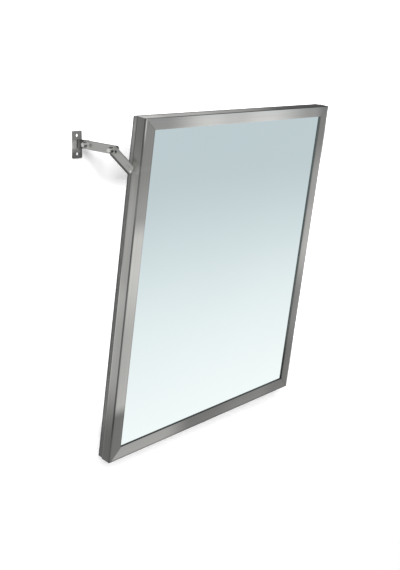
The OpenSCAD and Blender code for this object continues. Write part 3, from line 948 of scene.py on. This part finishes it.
zinc_on_mirror = galvanised("galvanised_inside", PAN_ZINC, mirror_coordinates)
zinc_pan = galvanised("galvanised_pan", PAN_ZINC, mirror_coordinates, pan_sheen)
zinc_fixed = galvanised("galvanised_bracket", BRACKET_ZINC, turned_coordinates)
bright = plated("bright_zinc", BRIGHT_ZINC)
nut_steel = {
    "wall": plated("wall_nut_steel", NUT_STEEL, 0.3, nut_sheen(WALL_PIVOT)),
    "elbow": plated("elbow_nut_steel", NUT_STEEL, 0.3, nut_sheen(ELBOW)),
}
dull = plated("dark_spring_steel", SPRING_STEEL, 0.4)
pin_steel = plated("grey_pin_steel", PIN_STEEL, 0.35)
weld_steel = plated("weld_metal", WELD_STEEL, 0.36)
plate_steel = dark_plate_steel("dark_mill_steel")
link_steel = {
    "long_link": brushed_steel(
        "brushed_long_link",
        LONG_LINK_STEEL,
        1,
        link_coordinates(WALL_PIVOT, ELBOW),
        link_sheen(LONG_LINK_W, LONG_EDGE_SHADE, LONG_SPOTS),
    ),
    "short_link": brushed_steel(
        "brushed_short_link",
        SHORT_LINK_STEEL,
        1,
        link_coordinates(ELBOW, FRAME_PIVOT),
        link_sheen(SHORT_LINK_W, SHORT_EDGE_SHADE, SHORT_SPOTS, SHORT_INSIDE),
    ),
}
white_nylon = nylon("natural_nylon")

dress("mirror_glass", silvered_glass("silvered_glass"))
dress("glazing_gasket", black_rubber("black_gasket"))
dress("cushion_sheet", foam("grey_foam"))
dress("backing_board", hardboard("hardboard"))
dress("pin_rings", dull)
for inner in ("crossbar_upper", "crossbar_lower", "leaf_nuts", "pan_nuts"):
    dress(inner, zinc_on_mirror)

finished_copy("back_pan", "mirror", zinc_pan, PAN_EDGE)

# Rings of the turned pieces, each its distance outwards and its radius
HEX_BOTTOM = [(0, 4.8), (0, 5, "hex", -1)]
NUT = [(0, 3.05), *HEX_BOTTOM, (4, 5, "hex", 1), (4, 4.75), (4, 4.3), (5.2, 4.3), (5.5, 3.9), (5.5, 3.05)]
WASHER = [(0, 3.2), (0, 6.05), (0.15, 6.2), (0.8, 6.2), (0.95, 6.05), (0.95, 3.2)]
DISC = [(0, 3.2), (0, 6.05), (0.15, 6.2), (0.6, 6.2), (0.75, 6.05), (0.75, 3.2)]
BOLT = [*HEX_BOTTOM, (4, 5, "hex", 0), (4, 2.96), (15, 2.96), *threaded(15, 17, 2.96), (17.3, 2.4)]
STUD = [
    (0, 4.5), (0.25, 5.1), (0.7, 5.5), (2.95, 5.5), (2.95, 2.96), (13, 2.96),
    *threaded(13, 17.7, 2.96), (18.05, 2.4),
]
PIVOT_PIN = [
    (0, 3.1), (0.4, 3.5), (6, 3.5), (6.4, 3.1), (6.4, 2.48), (8.8, 2.48), (8.8, 3.18), (9.2, 3.0),
    (9.6, 2.78), (9.95, 2.4), (10.2, 1.9), (10.35, 1.3), (10.4, 0.6),
]
HINGE_PIN = [
    (0, 2.3), (0.6, 2.98), (1.6, 2.98), (1.6, 2.2), (2.4, 2.2), (2.4, 2.98), (43.2, 2.98), (43.2, 4.9),
    (43.35, 5), (44.6, 5), (45.0, 4.75), (45.2, 4.3),
]

for side in SIDES:
    dress("pivot_doubler_" + side, zinc_on_mirror)
    finished_copy("hinge_leaf_" + side, "mirror", zinc_on_mirror, LEAF_EDGE)
    finished_copy("wall_bracket_" + side, "wall_parts", zinc_fixed, BRACKET_EDGE)
    finished_copy("wall_plate_" + side, "wall_parts", plate_steel, PLATE_EDGE)
    finished_copy("long_link_" + side, "long_arm_" + side, link_steel["long_link"], LINK_EDGE)
    finished_copy("short_link_" + side, "short_arm_" + side, link_steel["short_link"], LINK_EDGE)
    turned_piece("hinge_pin", side, HINGE_PIN, "wall_parts", bright)
    turned_piece("wall_pivot_bolt", side, BOLT, "wall_parts", bright)
    turned_piece("wall_pivot_nut", side, NUT, "wall_parts", nut_steel["wall"], bored=True)
    turned_piece("wall_washer", side, WASHER, "wall_parts", bright, bored=True)
    turned_piece("wall_friction_disc", side, DISC, "wall_parts", white_nylon, bored=True)
    arm = "short_arm_" + side
    turned_piece("elbow_stud", side, STUD, arm, bright)
    turned_piece("elbow_nut", side, NUT, arm, nut_steel["elbow"], bored=True)
    turned_piece("elbow_washer", side, WASHER, arm, bright, bored=True)
    turned_piece("elbow_friction_disc", side, DISC, arm, white_nylon, bored=True)
    turned_piece("frame_pivot_pin", side, PIVOT_PIN, arm, pin_steel)


def make_screws():
    """The screws of the hinge leaves, with their heads to the back, and those of the pan, heads down."""
    tree = screw_tree()
    leaf = {
        "Head Radius": 4.4 * MM, "Head Height": 2.2 * MM, "Shank Radius": 2.45 * MM, "Shank Length": 9.2 * MM,
        "Socket Radius": 2.1 * MM, "Socket Depth": 1.3 * MM,
        "Wide Pitch": 300 * MM, "Near Pitch": 16 * MM, "Row Pitch": 20 * MM, "Rows": 2,
    }
    pan = {
        "Head Radius": 3.4 * MM, "Head Height": 1.4 * MM, "Shank Radius": 1.95 * MM, "Shank Length": 5.9 * MM,
        "Socket Radius": 1.4 * MM, "Socket Depth": 0.8 * MM,
        "Wide Pitch": 250 * MM, "Near Pitch": 130 * MM, "Row Pitch": 0.0, "Rows": 1,
    }
    places = {
        "leaf_screws": (leaf, (0, TOTAL_D + LEAF_T, CROSSBAR_UP[0]), -90),
        "pan_screws": (pan, (0, PAN_SCREW_DEPTH, 0), 180),
    }
    for node, (sizes, at, turn) in places.items():
        mesh = grown(node, tree, sizes, bright)
        mesh.transform(ON_MIRROR @ Matrix.Translation(at) @ Matrix.Rotation(math.radians(turn), 4, "X"))
        piece = new_piece(node + "_socket_head", mesh, bright)
        soften(piece, SCREW_EDGE)
        place_piece(piece, "mirror", [node])


def make_welds():
    """The two beads that join each lug to its plate."""
    tree = weld_tree()
    for side, sign in SIDES.items():
        for face in (-1, 1):
            sizes = {"Length": 2 * LUG_HALF - 2 * MM, "Radius": BEAD_RADIUS, "Pitch": BEAD_PITCH}
            sizes["Seed"] = BEAD_SEED + face
            mesh = grown("weld", tree, sizes, weld_steel)
            at = (sign * LUG_MID + face * (LUG_T / 2 + BEAD_SINK), -PLATE_T - BEAD_SINK, WALL_PIVOT.z)
            mesh.transform(Matrix.Translation(at))
            for polygon in mesh.polygons:
                polygon.use_smooth = True
            piece = new_piece(f"lug_weld_{side}_{'in' if face * sign < 0 else 'out'}", mesh, weld_steel)
            place_piece(piece, "wall_parts")


make_screws()
make_welds()


# ---- Stage, light and camera ----


def ray_kinds(graph):
    """Whether a ray comes from the camera, and whether it comes from a reflection."""
    outputs = graph.add("ShaderNodeLightPath").socket.node.outputs
    return Value(graph, outputs["Is Camera Ray"]), Value(graph, outputs["Is Glossy Ray"])


def one_sided(graph, shader):
    """Shows a shader from the front only, so that the stage hides nothing from behind it."""
    behind = graph.add("ShaderNodeNewGeometry", None, None, "Backfacing")
    clear = graph.add("ShaderNodeBsdfTransparent")
    return graph.add("ShaderNodeMixShader", None, {0: behind, 1: shader, 2: clear})


def stage_material(name, reflected_of, lift_of):
    """White to the camera with the object's shadow kept, and another colour in reflections."""
    material, graph = new_material(name)
    to_camera, to_gloss = ray_kinds(graph)
    lit = graph.add("ShaderNodeBsdfDiffuse", None, {"Color": STAGE_WHITE})
    level = to_camera * lift_of(graph)
    lift = graph.add("ShaderNodeEmission", None, {"Color": graph.join(level, level, level), "Strength": 1.0})
    seen = graph.add("ShaderNodeAddShader", None, {0: lit, 1: lift})
    reflected = graph.add("ShaderNodeEmission", None, {"Color": reflected_of(graph), "Strength": 1.0})
    shader = graph.add("ShaderNodeMixShader", None, {0: to_gloss, 1: seen, 2: reflected})
    graph.add("ShaderNodeOutputMaterial", None, {"Surface": one_sided(graph, shader)})
    return material


def flat_sheet(name, corners, material):
    mesh = bpy.data.meshes.new(name)
    mesh.from_pydata(corners, [], [(0, 1, 2, 3)])
    new_piece(name, mesh, material)


def wall_reflection(graph):
    """An even grey where steel reflects it, with painted shade that darkens it on the right of the mirror."""
    across = graph.split(object_coordinates(graph))[0]
    level = WALL_GREY * (1 - RIGHT_SHADE * graph.smooth(across, 0.14, 0.4))
    return graph.join(level, level, level)


# Painted light: the wall's glow is raised beside the mirror and above its arms, which washes out the cast
# shadow there
def wall_lift(graph):
    """The wall is brighter beside the mirror and above its arms, where the photo has no shadow, than by the
    arms and below."""
    height = graph.split(object_coordinates(graph))[2]
    beside = graph.smooth(height, *LIFT_FROM) * (1 - graph.smooth(height, *LIFT_TO))
    return PLAIN_LIFT + BESIDE_LIFT * (beside + graph.smooth(height, *LIFT_ABOVE))


def floor_lift(graph):
    return PLAIN_LIFT


def floor_reflection(graph):
    """Painted reflection: bright near the wall and greyer further out."""
    out = 0 - graph.split(object_coordinates(graph))[1]
    level = FLOOR_NEAR - FLOOR_FAR_DROP * graph.smooth(out, 0.4, 2.7)
    return graph.join(level, level, level)


def make_stage():
    across = (-WALL_HALF, WALL_HALF, WALL_HALF, -WALL_HALF)
    up = (FLOOR_Z, FLOOR_Z, WALL_TOP, WALL_TOP)
    wall = [(x, WALL_AT, z) for x, z in zip(across, up)]
    flat_sheet("studio_wall", wall, stage_material("studio_wall", wall_reflection, wall_lift))
    floor = [(x * FLOOR_HALF, y * FLOOR_HALF, FLOOR_Z) for x, y in ((-1, -1), (1, -1), (1, 1), (-1, 1))]
    flat_sheet("studio_floor", floor, stage_material("studio_floor", floor_reflection, floor_lift))


def make_world():
    """White to the camera, a soft light on the object, and a pale room where steel and glass reflect it."""
    world = bpy.data.worlds.new("studio")
    world.use_nodes = True
    world.node_tree.nodes.clear()
    graph = Graph(world.node_tree)
    to_camera, to_gloss = ray_kinds(graph)
    light = graph.add("ShaderNodeBackground", None, {"Color": (1, 1, 1), "Strength": SKY_LIGHT})
    height = graph.split(graph.add("ShaderNodeTexCoord", None, None, "Generated"))[2]
    reflected = graph.blend(SKY_LOW, SKY_HIGH, graph.smooth(height, -0.1, 0.8))
    gloss = graph.add("ShaderNodeBackground", None, {"Color": reflected, "Strength": 1.0})
    white = graph.add("ShaderNodeBackground", None, {"Color": (1, 1, 1), "Strength": 1.0})
    shader = graph.add("ShaderNodeMixShader", None, {0: to_gloss, 1: light, 2: gloss})
    shader = graph.add("ShaderNodeMixShader", None, {0: to_camera, 1: shader, 2: white})
    graph.add("ShaderNodeOutputWorld", None, {"Surface": shader})
    bpy.context.scene.world = world


def make_lamp():
    """A square soft lamp that faces the middle of the mirror."""
    data = bpy.data.lights.new("key_lamp", "AREA")
    data.size = LAMP_SIZE
    data.energy = LAMP_WATTS
    lamp = bpy.data.objects.new("key_lamp", data)
    lamp.location = LAMP_AIM + LAMP_TOWARDS.normalized() * LAMP_DISTANCE
    lamp.visible_glossy = False
    lamp.rotation_mode = "QUATERNION"
    lamp.rotation_quaternion = (LAMP_AIM - lamp.location).to_track_quat("-Z", "Y")
    bpy.context.scene.collection.objects.link(lamp)


def make_camera():
    """The photograph's camera. The picture is taller than wide, so its height fills the sensor."""
    data = bpy.data.cameras.new("photo_camera")
    data.sensor_width = SENSOR
    data.lens = FOCAL_PX / IMAGE_PX[1] * SENSOR
    data.shift_x = (IMAGE_PX[0] / 2 - CENTRE_PX[0]) / IMAGE_PX[1]
    data.shift_y = (CENTRE_PX[1] - IMAGE_PX[1] / 2) / IMAGE_PX[1]
    camera = bpy.data.objects.new("photo_camera", data)
    camera.location = CAMERA_AT
    camera.rotation_euler = (math.pi / 2 + CAMERA_PITCH, 0, -CAMERA_HEADING)
    bpy.context.scene.collection.objects.link(camera)
    bpy.context.scene.camera = camera


make_stage()
make_world()
make_lamp()
make_camera()
bpy.context.scene.view_settings.view_transform = "Standard"
